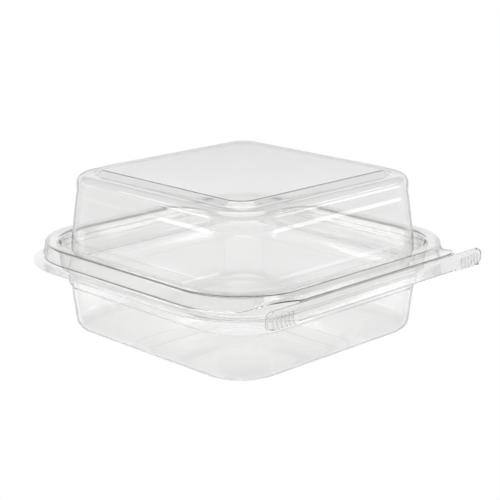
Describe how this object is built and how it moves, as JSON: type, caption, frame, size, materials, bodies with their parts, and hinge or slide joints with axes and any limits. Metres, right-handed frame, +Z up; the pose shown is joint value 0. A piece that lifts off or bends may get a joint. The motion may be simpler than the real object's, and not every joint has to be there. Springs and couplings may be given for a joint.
{
  "type": "hinged deli container",
  "caption": "Square clear plastic food container: tapered tray, domed lid with a raised flat top, and a double-fold hinge with a ribbed tear strip.",
  "frame": {"origin": "middle of the tray's flat underside, where it stands on a table", "axes": "+Z up out of the tray, +Y toward the hinge and tear strip, +X along the hinge"},
  "size_m": [0.16, 0.165, 0.0756],
  "materials": {
    "clear_tray": "gloss",
    "clear_strip": "gloss",
    "clear_lid": "gloss"
  },
  "bodies": {
    "tray_body": {"base_tray": "clear_tray"},
    "strip_body": {"tear_strip": "clear_strip"},
    "lid_body": {"lid": "clear_lid"}
  },
  "joints": [
    {"name": "strip_fold", "type": "hinge", "parent": "tray_body", "child": "strip_body", "pos_m": [0, 0.084, 0.03355], "axis": [-1, 0, 0], "range_deg": [0, 88]},
    {"name": "lid_fold", "type": "hinge", "parent": "strip_body", "child": "lid_body", "pos_m": [0, 0.084, 0.04175], "axis": [-1, 0, 0], "range_deg": [0, 88]}
  ],
  "couplings": [
    {"joint": "strip_fold", "follows": "lid_fold", "ratio": 1}
  ]
}
